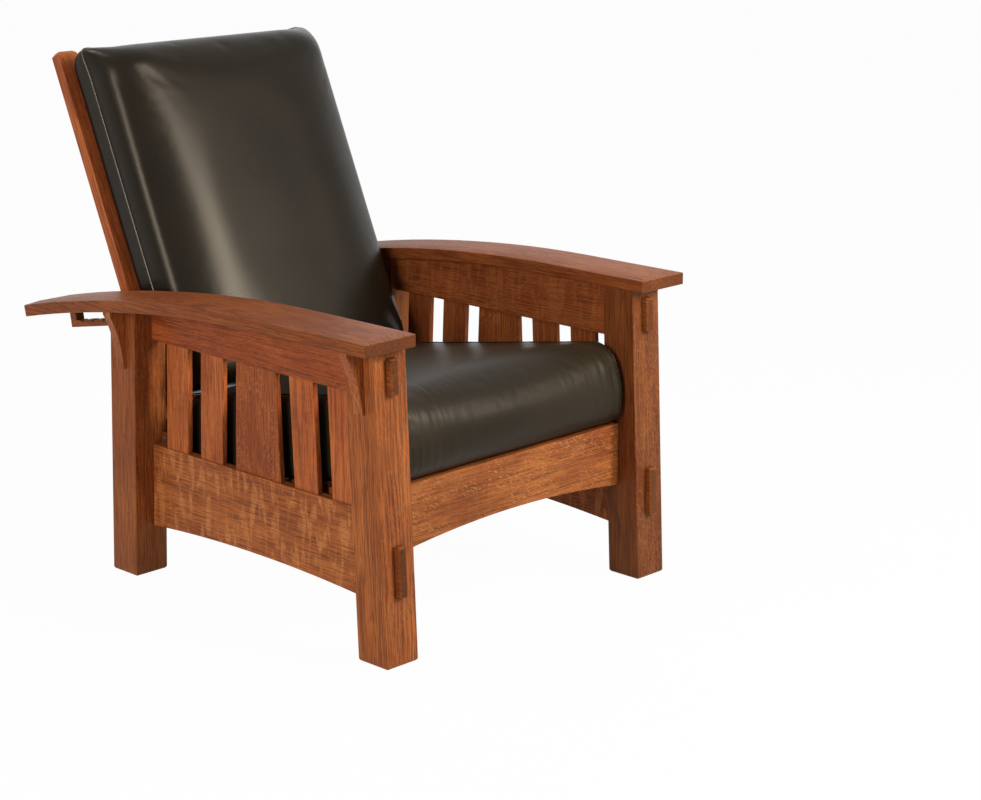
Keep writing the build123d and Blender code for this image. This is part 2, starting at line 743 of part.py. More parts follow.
# Write every node
os.makedirs("parts", exist_ok=True)
save_pair("leg_front", front_leg)
save_pair("leg_rear", rear_leg)
save("floor_glides", Compound([piece for y in (glide_y, -glide_y)
                               for piece in both_sides(make_glide(y))]))
save_pair("arm", make_arm())
save_pair("corbel_front", front_corbel)
save_pair("corbel_rear", rear_corbel)
save_pair("side_rail_lower", lower_rail + (lower_tenons - side_shape(
    between_legs(0, roof_top), -rail_outer, -rail_inner)))
save_pair("side_rail_upper", upper_rail + (upper_tenons - side_shape(
    between_legs(0, roof_top), -rail_outer, -rail_inner)))
middle_slat = slats[half_slat_count]
save_pair("side_slats_narrow", Compound([s for s in slats if s is not middle_slat]))
save_pair("side_slat_wide", middle_slat)
save_pair("show_tenon_upper", upper_show)
save_pair("show_tenon_lower", lower_show)
save("front_rail", front_rail)
save("rear_rail", rear_rail)
save("seat_front_cleat", seat_cleat)
save_pair("seat_ledger", ledger)
save_pair("seat_frame_side", seat_side)
save("seat_frame_front", seat_cross_front)
save("seat_frame_rear", seat_cross_rear)
save("seat_slats", Compound(seat_slats))
save("seat_cushion", seat_cushion)
save_pair("pivot_block", pivot_block)
save_pair("pivot_bolt", pin)
save_pair("pivot_washer", washer)
save("block_screws", Compound(both_sides(block_screw)))
save_pair("back_post", post)
save("back_crest_rail", crest)
save("back_foot_rail", foot_rail)
save("back_slats", Compound(back_slats))
save("back_cushion", back_cushion)
save_pair("rack", rack)
save_pair("rack_spacers", Compound([spacer_front, spacer_rear]))
save("support_rod", rod)
print("pivot", round(pivot_back - box_middle, 3), round(pivot_height, 3),
      "back leans", round(degrees(back_angle), 3))
print("rod", round(rod_y - box_middle, 3), round(rod_z, 3), "travel", round(rod_travel, 3),
      "per radian", round(rod_travel / travel_angle, 3))
print("box middle", round(box_middle, 3), "depth", round(box_back - box_front, 3))
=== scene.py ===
# %% [markdown]
# # A mission reclining armchair, dressed for its picture
#
# The chair arrives as a frame of solids at their real size: legs, rails, slats, arms, a back
# that swings on two bolts, and the rod that it leans on. Here it gets its looks: stained
# quarter-sawn oak with eased edges, and two loose cushions in dark leather. Every length is in
# metres, the front of the chair looks along -Y, and +X is the sitter's left.

# %% Load the frame
import json
from math import cos, pi, radians, sin

import bmesh
import bpy
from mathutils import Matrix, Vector, noise


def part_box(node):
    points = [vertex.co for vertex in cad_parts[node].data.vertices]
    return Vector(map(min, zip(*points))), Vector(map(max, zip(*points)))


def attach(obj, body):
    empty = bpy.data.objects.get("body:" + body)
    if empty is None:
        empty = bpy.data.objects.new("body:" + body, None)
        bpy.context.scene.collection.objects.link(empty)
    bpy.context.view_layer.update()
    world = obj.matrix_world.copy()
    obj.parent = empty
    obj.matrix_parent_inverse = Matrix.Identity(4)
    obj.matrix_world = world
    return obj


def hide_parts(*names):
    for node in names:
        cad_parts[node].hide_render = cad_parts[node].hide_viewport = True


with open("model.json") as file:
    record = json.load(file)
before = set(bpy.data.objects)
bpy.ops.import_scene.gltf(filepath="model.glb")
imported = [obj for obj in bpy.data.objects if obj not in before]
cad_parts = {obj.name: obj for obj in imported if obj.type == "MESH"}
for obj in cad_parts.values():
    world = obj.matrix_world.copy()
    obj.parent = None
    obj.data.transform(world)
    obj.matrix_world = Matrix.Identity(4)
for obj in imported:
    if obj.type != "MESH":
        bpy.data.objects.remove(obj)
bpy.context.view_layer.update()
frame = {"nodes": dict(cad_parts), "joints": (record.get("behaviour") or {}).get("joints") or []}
nodes = frame["nodes"]
mm = 0.001

# %% [markdown]
# ## Small tools
#
# Some steps come back all through the scene: putting an object in it, giving a piece its
# material, and joining shader nodes. Each has a short function here, so that the cells below
# say what they make and not how the nodes are wired.

# %% Objects and their materials
def placed(name, data):
    """A new object in the scene."""
    piece = bpy.data.objects.new(name, data)
    bpy.context.scene.collection.objects.link(piece)
    return piece


def put_on(piece, material):
    """The material takes the place of whatever the piece had."""
    piece.data.materials.clear()
    piece.data.materials.append(material)


def shade(piece, smooth=True):
    """Shade every face smooth, or every face flat."""
    for polygon in piece.data.polygons:
        polygon.use_smooth = smooth


# %% Shader nodes
def maths(tree, operation, first, second=None):
    """A Math node between two sockets or numbers."""
    node = tree.nodes.new("ShaderNodeMath")
    node.operation = operation
    for socket, value in zip(node.inputs, (first, second)):
        if value is None:
            continue
        if isinstance(value, (int, float)):
            socket.default_value = value
        else:
            tree.links.new(value, socket)
    return node.outputs[0]


def fade(tree, value, low, high, out_low=0.0, out_high=1.0):
    """A smooth step from low to high."""
    node = tree.nodes.new("ShaderNodeMapRange")
    node.interpolation_type = "SMOOTHSTEP"
    tree.links.new(value, node.inputs["Value"])
    for name, number in (("From Min", low), ("From Max", high), ("To Min", out_low),
                         ("To Max", out_high)):
        node.inputs[name].default_value = number
    return node.outputs["Result"]


def scaled(tree, vector, scale, offset=(0, 0, 0)):
    """A vector stretched and shifted, to lay a pattern along or across the grain."""
    node = tree.nodes.new("ShaderNodeVectorMath")
    node.operation = "MULTIPLY_ADD"
    tree.links.new(vector, node.inputs[0])
    node.inputs[1].default_value = scale
    node.inputs[2].default_value = offset
    return node.outputs[0]


def cloudy(tree, vector, detail=2.0, roughness=0.5, distortion=0.0):
    """Soft noise, one cloud to each unit of the vector."""
    node = tree.nodes.new("ShaderNodeTexNoise")
    node.inputs["Scale"].default_value = 1.0
    node.inputs["Detail"].default_value = detail
    node.inputs["Roughness"].default_value = roughness
    node.inputs["Distortion"].default_value = distortion
    tree.links.new(vector, node.inputs["Vector"])
    return node.outputs["Fac"]


def blend_colour(tree, factor, first, second, mode="MIX"):
    """Mix two colours, each a socket or three numbers."""
    node = tree.nodes.new("ShaderNodeMix")
    node.data_type = "RGBA"
    node.blend_type = mode
    if isinstance(factor, (int, float)):
        node.inputs["Factor"].default_value = factor
    else:
        tree.links.new(factor, node.inputs["Factor"])
    for socket, value in ((node.inputs[6], first), (node.inputs[7], second)):
        if isinstance(value, tuple):
            socket.default_value = (*value, 1)
        else:
            tree.links.new(value, socket)
    return node.outputs[2]


def mixed_surface(tree, factor, first, second, output):
    """A mix of two shaders, sent to the output node."""
    mix = tree.nodes.new("ShaderNodeMixShader")
    for value, socket in zip((factor, first, second), mix.inputs):
        tree.links.new(value, socket)
    tree.links.new(mix.outputs[0], output.inputs["Surface"])


def new_finish(name):
    """A material, its node tree, its shader and its texture coordinates."""
    material = bpy.data.materials.new(name)
    material.use_nodes = True
    tree = material.node_tree
    return material, tree, tree.nodes["Principled BSDF"], tree.nodes.new("ShaderNodeTexCoord")


def add_bump(tree, shader, height, strength, depth):
    """Small heights in the finish, which catch the light."""
    bump = tree.nodes.new("ShaderNodeBump")
    bump.inputs["Strength"].default_value = strength
    bump.inputs["Distance"].default_value = depth
    tree.links.new(height, bump.inputs["Height"])
    tree.links.new(bump.outputs["Normal"], shader.inputs["Normal"])

# %% [markdown]
# ## Camera
#
# The photograph was taken from the chair's front corner, a little above eye level for someone
# sitting, with a long lens that keeps the verticals nearly parallel. Working the camera out
# from the parallel edges of the chair gives its place and its two angles, so it is placed by
# those numbers and not by eye.

# %% Camera
camera_place = Vector((-3.028, -3.358, 1.542))
camera_azimuth = -45.751
camera_elevation = 14.987
camera = placed("camera", bpy.data.cameras.new("camera"))
camera.location = camera_place
camera.rotation_euler = (radians(90 - camera_elevation), 0, radians(camera_azimuth))
camera.data.lens = 85.09
camera.data.sensor_width = 36
camera.data.clip_end = 60
bpy.context.scene.camera = camera
print("camera", [round(v, 3) for v in camera_place], "lens", camera.data.lens)

# %% [markdown]
# ## Studio
#
# A catalogue studio is a pale floor between a few large soft lamps. Large lamps matter most to
# the leather, because what shows on black leather is the lamps themselves, blurred. A tall lamp
# at the front right gives the broad sheen on the cushions, a narrow one at the front draws the
# bright line along the back cushion's edge, one at the left lights the near side of the frame,
# and one above and behind picks out the tops of the arms. The floor and the world look white to
# the camera and to reflections, but they give the chair less light than they show, so the
# underside stays dark and the wood keeps its colour.

# %% Floor and world
def seen_directly(tree):
    """One where the camera or a reflection looks straight at the surface."""
    path = tree.nodes.new("ShaderNodeLightPath")
    glossy = maths(tree, "MAXIMUM", path.outputs["Is Camera Ray"],
                   path.outputs["Is Glossy Ray"])
    return maths(tree, "MAXIMUM", glossy, path.outputs["Is Transmission Ray"])


def make_floor(reach=22.0, shown_white=0.975, paint_colour=(0.62, 0.60, 0.58, 1)):
    """White where it is seen, and a light grey where it only throws light on the chair."""
    mesh = bpy.data.meshes.new("studio_floor")
    mesh.from_pydata([(-reach, -reach, 0), (reach, -reach, 0), (reach, reach, 0),
                      (-reach, reach, 0)], [], [(0, 1, 2, 3)])
    floor = placed("studio_floor", mesh)
    material = bpy.data.materials.new("studio_floor")
    material.use_nodes = True
    tree = material.node_tree
    tree.nodes.clear()
    paint = tree.nodes.new("ShaderNodeBsdfDiffuse")
    paint.inputs["Color"].default_value = paint_colour
    glow = tree.nodes.new("ShaderNodeEmission")
    share = maths(tree, "MULTIPLY", seen_directly(tree), shown_white)
    mixed_surface(tree, share, paint.outputs[0], glow.outputs[0],
                  tree.nodes.new("ShaderNodeOutputMaterial"))
    mesh.materials.append(material)


def make_world(light=0.12):
    """White where it is seen, and a faint light from all round."""
    world = bpy.data.worlds.new("studio_world")
    bpy.context.scene.world = world
    world.use_nodes = True
    tree = world.node_tree
    tree.nodes.clear()
    shaders = []
    for strength in (light, 1.0):
        background = tree.nodes.new("ShaderNodeBackground")
        background.inputs["Color"].default_value = (1, 1, 1, 1)
        background.inputs["Strength"].default_value = strength
        shaders.append(background.outputs[0])
    mixed_surface(tree, seen_directly(tree), *shaders, tree.nodes.new("ShaderNodeOutputWorld"))


make_floor()
make_world()
bpy.context.scene.view_settings.view_transform = "Standard"
print("floor and world ready")

# %% Lamps
lamp_target = Vector((0, 0, 0.5))


def add_lamp(name, direction, distance, width, height, power, colour):
    """A soft box that looks at the chair from a direction, at a distance."""
    data = bpy.data.lights.new(name, "AREA")
    data.shape = "RECTANGLE"
    data.size = width
    data.size_y = height
    data.energy = power
    data.color = colour
    lamp = placed(name, data)
    lamp.location = lamp_target + Vector(direction).normalized() * distance
    lamp.rotation_euler = (lamp_target - lamp.location).to_track_quat("-Z", "Y").to_euler()
    print(name, [round(v, 2) for v in lamp.location], power, "W")


# Each lamp: the way to it, its distance, width, height and watts, and its colour.
warm_white, soft_white = (1.0, 0.97, 0.93), (1.0, 0.98, 0.95)
add_lamp("lamp_front_right", (0.40, -0.80, 0.43), 3.4, 0.6, 1.4, 92, warm_white)
add_lamp("lamp_front", (0.16, -0.79, 0.59), 3.4, 0.45, 1.5, 52, warm_white)
add_lamp("lamp_side_left", (-1.0, -0.22, 0.30), 3.4, 1.0, 1.6, 70, soft_white)
add_lamp("lamp_above_rear", (-0.35, 0.45, 0.85), 3.2, 1.0, 1.0, 28, soft_white)

# %% [markdown]
# ## Oak
#
# The frame is quarter-sawn oak under a reddish-brown stain and a satin lacquer. Three things
# make it read as oak: growth rings cut into long parallel lines, open pores that take up more
# stain, and pale wavy ray flecks that cross the grain, which show only on the faces that were
# sawn towards the heart of the log. End grain soaks up the most stain and is the darkest, and
# some boards took the stain redder than others. A flat picture couldn't turn the corner of a
# leg, so the figure is worked out in three dimensions from a few distances: along the board,
# out from the heart, and round the rings. The same group of nodes serves every board, and each
# board gives it its own directions.

# %% The oak figure as a node group
ring_spacing = 3.6 * mm
ring_unevenness = 1.8       # by how many rings the noise moves a ring
heart_distance = 95 * mm    # from the heart of the log to the middle of the board
heart_sway = 60 * mm        # how widely the heart wanders along the board
heart_lean = 0.018          # how fast the board runs away from the heart
flake_slant = radians(32)
pale_oak, warm_oak = (0.480, 0.148, 0.038), (0.350, 0.092, 0.024)
ring_oak, pore_oak = (0.090, 0.022, 0.010), (0.042, 0.012, 0.007)
ray_oak = (0.620, 0.245, 0.075)
red_stain = (1.0, 0.74, 0.80)
ring_share, grain_share, ray_share, pore_share = 0.85, 0.58, 0.70, 0.55
end_darkening = 0.45
oak_roughness, pore_roughness, ray_smoothness = 0.45, 0.14, 0.06
ray_height, pore_depth, ring_depth = 0.10, 0.8, 0.25


def make_oak_group():
    """Colour, roughness and height of the oak at a place in its board."""
    group = bpy.data.node_groups.new("oak_figure", "ShaderNodeTree")
    face = group.interface
    face.new_socket("Board", in_out="INPUT", socket_type="NodeSocketVector")
    for name, value in (("Quarter Face", 1.0), ("End Face", 0.0), ("Flame", 0.5),
                        ("Flake", 0.5), ("Rings", 0.5), ("Red", 0.0), ("Tone And Shade", 1.0)):
        socket = face.new_socket(name, in_out="INPUT", socket_type="NodeSocketFloat")
        socket.default_value = value
    face.new_socket("Color", in_out="OUTPUT", socket_type="NodeSocketColor")
    face.new_socket("Roughness", in_out="OUTPUT", socket_type="NodeSocketFloat")
    face.new_socket("Height", in_out="OUTPUT", socket_type="NodeSocketFloat")
    inputs = group.nodes.new("NodeGroupInput")
    out = group.nodes.new("NodeGroupOutput")
    given, board = inputs.outputs, inputs.outputs["Board"]

    def times(first, second):
        return maths(group, "MULTIPLY", first, second)

    def plus(first, second):
        return maths(group, "ADD", first, second)

    def less(first, second):
        return maths(group, "SUBTRACT", first, second)

    def stretched(scale, offset=(0, 0, 0), vector=board, **looks):
        """Noise stretched along, out and round the board."""
        return cloudy(group, scaled(group, vector, scale, offset), **looks)

    # Growth rings: distance from a heart that wanders slowly along the board.
    parts = group.nodes.new("ShaderNodeSeparateXYZ")
    group.links.new(board, parts.inputs[0])
    along, outward, around = parts.outputs
    wander = stretched((2.2, 10, 10), detail=3.0)
    sway = times(less(wander, 0.5), heart_sway)
    reach = plus(plus(outward, heart_distance), plus(sway, times(along, heart_lean)))
    radius = maths(group, "SQRT", plus(times(reach, reach), times(around, around)))
    uneven = stretched((1.5, 45, 45), (3, 1, 4))
    turns = plus(maths(group, "DIVIDE", radius, ring_spacing), times(uneven, ring_unevenness))
    ring = maths(group, "FRACT", turns)
    early = less(1.0, fade(group, ring, 0.0, 0.55))
    late = fade(group, ring, 0.86, 1.0)
    strength = fade(group, stretched((5, 50, 50), (3, 7, 1)), 0.30, 0.70, 0.2, 1.0)
    rings = times(times(maths(group, "MAXIMUM", early, late), strength), given["Rings"])

    # Fine grain and pores: streaks along the board, some of them short and dark.
    streaks = stretched((10, 380, 380), (5, 2, 8), detail=3.0, roughness=0.65)
    grain = fade(group, streaks, 0.46, 0.60)
    pores = fade(group, stretched((34, 760, 760), roughness=0.6), 0.55, 0.68)

    # Ray figure on the quartered faces: flames that stand across the grain, and small
    # slanting flakes.
    tall = stretched((62, 13, 24), (2, 5, 3), roughness=0.55, distortion=0.7)
    torn = fade(group, stretched((30, 420, 200)), 0.25, 0.6)
    flame = times(times(fade(group, tall, 0.47, 0.62), torn), given["Flame"])
    slant = group.nodes.new("ShaderNodeVectorRotate")
    slant.rotation_type = "Z_AXIS"
    slant.inputs["Angle"].default_value = flake_slant
    group.links.new(board, slant.inputs["Vector"])
    slanting = stretched((95, 430, 120), (1, 8, 2), slant.outputs[0], roughness=0.55,
                         distortion=0.3)
    patch = fade(group, stretched((11, 24, 20), (9, 1, 4)), 0.36, 0.55)
    flake = times(times(fade(group, slanting, 0.53, 0.64), patch), given["Flake"])
    rays = times(maths(group, "MAXIMUM", flame, flake), given["Quarter Face"])

    # Colour: the stain pools in rings and pores and slides off the rays.
    broad = stretched((6, 16, 16), (7, 7, 7), detail=3.0)
    colour = blend_colour(group, fade(group, broad, 0.32, 0.68), warm_oak, pale_oak)
    for pattern, share, tint in ((rings, ring_share, ring_oak), (grain, grain_share, ring_oak),
                                 (rays, ray_share, ray_oak), (pores, pore_share, pore_oak)):
        colour = blend_colour(group, times(pattern, share), colour, tint)
    soaked = less(1.0, times(given["End Face"], end_darkening))
    # The board's tone scales its colour. Where a board stands in shade the tone is set lower, so
    # this scale paints that shade into the stain.
    toned = group.nodes.new("ShaderNodeVectorMath")
    toned.operation = "SCALE"
    group.links.new(colour, toned.inputs[0])
    group.links.new(times(given["Tone And Shade"], soaked), toned.inputs["Scale"])
    redder = blend_colour(group, given["Red"], (1.0, 1.0, 1.0), red_stain)
    stained = blend_colour(group, 1.0, toned.outputs[0], redder, "MULTIPLY")
    group.links.new(stained, out.inputs["Color"])

    # Roughness and height: pores are dull and sunk, rays are smooth and stand a little proud.
    rough = less(plus(oak_roughness, times(pores, pore_roughness)), times(rays, ray_smoothness))
    group.links.new(rough, out.inputs["Roughness"])
    sunk = plus(times(pores, pore_depth), times(rings, ring_depth))
    group.links.new(less(times(rays, ray_height), sunk), out.inputs["Height"])
    return group


oak_group = make_oak_group()
print("oak group nodes", len(oak_group.nodes))


# %% One oak material for each board
def along_axis(tree, vector, axis):
    """How far a point or a normal reaches along an axis of the chair."""
    node = tree.nodes.new("ShaderNodeVectorMath")
    node.operation = "DOT_PRODUCT"
    tree.links.new(vector, node.inputs[0])
    node.inputs[1].default_value = axis
    return node.outputs["Value"]


def make_oak(name, length, outward, place, tone_and_shade, red, flame, flake, rings):
    """Oak whose grain runs along length and whose rings grow outward.

    place is where in the log the board was cut, so that no two boards look alike.
    """
    length = Vector(length).normalized()
    outward = Vector(outward).normalized()
    around = length.cross(outward)
    material, tree, shader, where = new_finish(name)
    board = tree.nodes.new("ShaderNodeCombineXYZ")
    for socket, axis, shift in zip(board.inputs, (length, outward, around), place):
        reach = along_axis(tree, where.outputs["Object"], axis)
        tree.links.new(maths(tree, "ADD", reach, shift), socket)
    facing = maths(tree, "ABSOLUTE", along_axis(tree, where.outputs["Normal"], around))
    figure = tree.nodes.new("ShaderNodeGroup")
    figure.node_tree = oak_group
    tree.links.new(board.outputs[0], figure.inputs["Board"])
    tree.links.new(fade(tree, facing, 0.6, 0.9), figure.inputs["Quarter Face"])
    end = maths(tree, "ABSOLUTE", along_axis(tree, where.outputs["Normal"], length))
    tree.links.new(fade(tree, end, 0.8, 0.97), figure.inputs["End Face"])
    for socket, value in (("Tone And Shade", tone_and_shade), ("Red", red), ("Flame", flame), ("Flake", flake),
                          ("Rings", rings)):
        figure.inputs[socket].default_value = value
    tree.links.new(figure.outputs["Color"], shader.inputs["Base Color"])
    tree.links.new(figure.outputs["Roughness"], shader.inputs["Roughness"])
    add_bump(tree, shader, figure.outputs["Height"], strength=0.35, depth=0.25 * mm)
    shader.inputs["Specular IOR Level"].default_value = 0.20
    shader.inputs["Specular Tint"].default_value = (1.0, 0.68, 0.30, 1)
    shader.inputs["Coat Weight"].default_value = 0.03
    shader.inputs["Coat Roughness"].default_value = 0.25
    return material


leg_splay = radians(2.63)
back_lean = radians(23.7)
across, along, up = (1, 0, 0), (0, 1, 0), (0, 0, 1)
front_leg_up = (0, sin(leg_splay), cos(leg_splay))
rear_leg_up = (0, -sin(leg_splay), cos(leg_splay))
back_up = Vector((0, sin(back_lean), cos(back_lean)))
back_forward = Vector((0, -cos(back_lean), sin(back_lean)))

# Each board: its pieces, the direction of its grain, the way out from the heart, its tone with
# painted shade, how red its stain is, and how much it shows of flames, flakes and rings. The
# tone was matched to how bright each board looks where it stands, so besides the board's own
# colour it
# holds painted shade: boards that stand in shade, such as the near arm, the near upper rail, the
# near rear leg and the far front leg, have a darker tone.
boards = [
    (["leg_front_right"], front_leg_up, across, 0.80, 0.1, 0.0, 0.3, 1.0),
    (["leg_front_left"], front_leg_up, across, 0.43, 0.3, 0.2, 1.0, 0.6),
    (["leg_rear_right"], rear_leg_up, across, 0.70, 0.2, 0.0, 0.3, 0.7),
    (["leg_rear_left"], rear_leg_up, across, 0.72, 0.3, 0.0, 0.3, 0.6),
    (["arm_right"], along, across, 0.54, 0.4, 0.0, 0.0, 0.5),
    (["arm_left"], along, across, 0.62, 0.3, 0.0, 0.0, 0.5),
    (["side_rail_lower_right"], along, up, 0.80, 0.2, 1.0, 0.15, 0.5),
    (["side_rail_lower_left"], along, up, 0.76, 0.5, 1.0, 0.2, 0.5),
    (["side_rail_upper_right"], along, up, 0.72, 0.9, 0.0, 0.35, 0.5),
    (["side_rail_upper_left"], along, up, 0.66, 0.6, 0.5, 0.6, 0.5),
    (["side_slats_narrow_right"], up, along, 0.98, 0.5, 0.15, 0.2, 0.6),
    (["side_slats_narrow_left"], up, along, 0.82, 0.4, 0.1, 0.2, 0.6),
    (["side_slat_wide_right"], up, along, 0.68, 0.7, 0.0, 1.0, 0.4),
    (["side_slat_wide_left"], up, along, 0.76, 0.5, 0.0, 1.0, 0.4),
    (["front_rail"], across, up, 0.71, 0.0, 0.15, 1.0, 0.4),
    (["rear_rail"], across, up, 0.80, 0.3, 0.5, 0.5, 0.5),
    (["corbel_front_right", "corbel_rear_right"], up, along, 0.85, 0.1, 0.0, 0.2, 0.4),
    (["corbel_front_left", "corbel_rear_left"], up, along, 0.80, 0.2, 0.0, 0.2, 0.4),
    (["show_tenon_upper_right", "show_tenon_lower_right"], along, up, 0.50, 0.3, 0.0, 0.0, 0.4),
    (["show_tenon_upper_left", "show_tenon_lower_left"], along, up, 0.50, 0.3, 0.0, 0.0, 0.4),
    (["back_post_right"], back_up, across, 0.95, 0.6, 0.0, 0.2, 0.5),
    (["back_post_left"], back_up, across, 0.84, 0.4, 0.0, 0.2, 0.5),
    (["back_crest_rail", "back_foot_rail", "back_slats"], across, back_up, 0.8, 0.3, 0.4, 0.6,
     0.5),
    (["seat_frame_side_right", "seat_frame_side_left", "seat_ledger_right",
      "seat_ledger_left"], along, up, 0.75, 0.3, 0.0, 0.2, 0.5),
    (["seat_frame_front", "seat_frame_rear", "seat_front_cleat", "seat_slats"], across, up,
     0.75, 0.3, 0.0, 0.2, 0.5),
    # The pivot blocks are given a very low tone as painted shade for the dark gap they sit in.
    (["pivot_block_right", "pivot_block_left"], up, along, 0.35, 0.3, 0.0, 0.1, 0.5),
    (["rack_right", "rack_left", "rack_spacers_right", "rack_spacers_left"], along, up,
     0.75, 0.3, 0.0, 0.1, 0.5),
    (["support_rod"], across, up, 0.85, 0.2, 0.0, 0.1, 0.4),
]
log_steps = (0.37, 0.011, 0.007)    # how far along, out and round the log each board moves
for number, (names, length, outward, *looks) in enumerate(boards):
    place = [step * number for step in log_steps]
    oak = make_oak("oak_" + names[0], length, outward, place, *looks)
    for name in names:
        put_on(nodes[name], oak)
print("oak boards", len(boards))

# %% [markdown]
# ## Eased edges
#
# A maker runs sandpaper along every edge, so wood has no knife edges: each corner is a small
# round that catches a line of light. The solids have sharp corners, so three modifiers round
# them without touching the shape itself: one joins the loose triangles, one melts flat faces
# into whole ones, and a bevel rounds what is left. Weighted normals keep the broad faces flat.
# Small pieces get a smaller round, and the chamfered ends of the show tenons stay crisp.

# %% Ease the edges of the wood
edge_round = 1.6 * mm
small_round = 0.8 * mm
crisp_round = 0.3 * mm
small_pieces = ("pivot_block", "rack", "corbel", "seat_")


def ease_edges(piece, width):
    """Round every real corner by this width, and leave gentle bends alone."""
    weld = piece.modifiers.new("join", "WELD")
    weld.merge_threshold = 0.02 * mm
    melt = piece.modifiers.new("melt", "DECIMATE")
    melt.decimate_type = "DISSOLVE"
    melt.angle_limit = radians(0.2)
    bevel = piece.modifiers.new("ease", "BEVEL")
    bevel.width = width
    bevel.segments = 3
    bevel.limit_method = "ANGLE"
    bevel.angle_limit = radians(28)
    weighted = piece.modifiers.new("shade", "WEIGHTED_NORMAL")
    weighted.keep_sharp = False


oak_names = [name for board in boards for name in board[0]]
for name in oak_names:
    crisp = name.startswith("show_tenon")
    small = name.startswith(small_pieces)
    shade(nodes[name], smooth=not crisp)
    ease_edges(nodes[name], crisp_round if crisp else small_round if small else edge_round)
print("eased", len(oak_names), "pieces")

# %% [markdown]
# ## Metal and nylon
#
# The pivot bolts and the screws of their blocks are zinc-plated steel, and the washers and the
# glides under the feet are dark nylon. They hardly show, but they are there when the chair is
# turned over, so each has a plain finish with a little unevenness.

# %% Small hardware
def make_plain(name, colour, metallic, roughness, spread, scale):
    """A finish whose roughness varies a little over the surface."""
    material, tree, shader, where = new_finish(name)
    cloud = cloudy(tree, scaled(tree, where.outputs["Object"], (scale,) * 3), detail=3.0)
    darker = tuple(channel * 0.7 for channel in colour)
    tree.links.new(blend_colour(tree, cloud, colour, darker), shader.inputs["Base Color"])
    tree.links.new(fade(tree, cloud, 0.3, 0.7, roughness, roughness + spread),
                   shader.inputs["Roughness"])
    shader.inputs["Metallic"].default_value = metallic
    return material


steel = make_plain("zinc_plated_steel", (0.55, 0.54, 0.52), metallic=1.0, roughness=0.28,
                   spread=0.15, scale=400)
nylon = make_plain("dark_nylon", (0.030, 0.026, 0.023), metallic=0.0, roughness=0.45,
                   spread=0.15, scale=900)
for material, names in ((steel, ("pivot_bolt_right", "pivot_bolt_left", "block_screws")),
                        (nylon, ("pivot_washer_right", "pivot_washer_left", "floor_glides"))):
    for name in names:
        put_on(nodes[name], material)
print("hardware finished")

# %% [markdown]
# ## Leather
#
# The cushions are covered in smooth, nearly black leather with a warm brown undertone. Its
# colour hardly shows: what one sees is the soft reflection of lamps, floor and wood. So the
# base is very dark, the roughness varies in broad soft patches, and a fine pebbled grain
# breaks up the highlights. The seat's leather is worn softer and a little paler. The cord of
# the back is glossier than the cover, and its paler colour is a painted highlight that draws a
# bright line along the seam. Creases near the seams belong to the mesh and not to the finish.

# %% Leather finish
pebbles_per_metre = 900
pebble_depth = 0.4 * mm
warmth = (1.4, 1.3, 1.2)    # how much the brown undertone adds to each channel


def make_leather(name, colour=(0.0045, 0.0034, 0.0020), shine=0.19, roughness=0.26):
    """Leather in a dark colour; a lower roughness gives sharper reflections."""
    material, tree, shader, where = new_finish(name)
    place = where.outputs["Object"]
    patches = cloudy(tree, scaled(tree, place, (5, 5, 5)), detail=1.0)
    warm = tuple(channel * factor for channel, factor in zip(colour, warmth))
    tree.links.new(blend_colour(tree, fade(tree, patches, 0.35, 0.7), colour, warm),
                   shader.inputs["Base Color"])
    tree.links.new(fade(tree, patches, 0.3, 0.7, roughness, roughness + 0.03),
                   shader.inputs["Roughness"])
    cells = tree.nodes.new("ShaderNodeTexVoronoi")
    cells.feature = "DISTANCE_TO_EDGE"
    cells.inputs["Scale"].default_value = pebbles_per_metre
    tree.links.new(place, cells.inputs["Vector"])
    pebbles = fade(tree, cells.outputs["Distance"], 0.0, 0.25)
    soft = cloudy(tree, scaled(tree, place, (160, 160, 160)))
    height = maths(tree, "ADD", maths(tree, "MULTIPLY", pebbles, 0.5), soft)
    add_bump(tree, shader, height, strength=0.10, depth=pebble_depth)
    shader.inputs["Specular IOR Level"].default_value = shine
    shader.inputs["Specular Tint"].default_value = (1.0, 0.86, 0.68, 1)
    return material


leather = make_leather("black_brown_leather")
soft_leather = make_leather("softer_seat_leather", (0.0130, 0.0095, 0.0050), shine=0.15,
                            roughness=0.38)
# The cord's paler colour is a painted highlight for the bright line along the seam; its higher
# shine and lower roughness are real gloss.
welt_leather = make_leather("glossy_welt_leather_with_painted_highlight", (0.020, 0.015, 0.010), shine=0.6,
                            roughness=0.24)
print("leather ready")

# %% [markdown]
# ## Cushions
#
# Each cushion is a foam block in a sewn leather cover. The cover's main panel wraps the front
# in one piece, and end panels close it with a piped seam. The shape is first laid out as a
# loft across the chair: one outline of the side view, drawn in at the ends. Then the cover is
# blown up a little as cloth that is held at its seams, which gives the fullness that no
# formula gives. Last come the fine puckers along the seams and the wrinkles on the seat's
# nose, which are narrower than the cloth's own weave. The seat cushion lies on the sloping
# slats behind the front rail, and the back cushion stands on the posts, so each has its own
# pair of directions.

# %% Places on the seat and on the back
seat_slope = radians(9.7)
seat_gap = 0.6 * mm         # clearance under the cushion at the front rail's rear edge
rail_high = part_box("front_rail")[1]
seat_origin = Vector((0, rail_high.y, rail_high.z + seat_gap))
hinge = next(joint for joint in frame["joints"] if joint["name"] == "back_recline")
pivot = Vector(hinge["pos_m"])
post_half = 13 * mm         # half of a post's depth, from the pivot to its front face


def seat_place(x, a, b):
    """a runs back along the seat's slope, b is square to it."""
    return Vector((x, seat_origin.y + a * cos(seat_slope) + b * sin(seat_slope),
                   seat_origin.z - a * sin(seat_slope) + b * cos(seat_slope)))


def back_place(x, u, t):
    """u runs up the posts from the pivot, t forward from their front faces."""
    return Vector((x, 0, 0)) + pivot + back_up * u + back_forward * (t + post_half)


print("seat", [round(v, 4) for v in seat_origin], "pivot", [round(v, 4) for v in pivot])


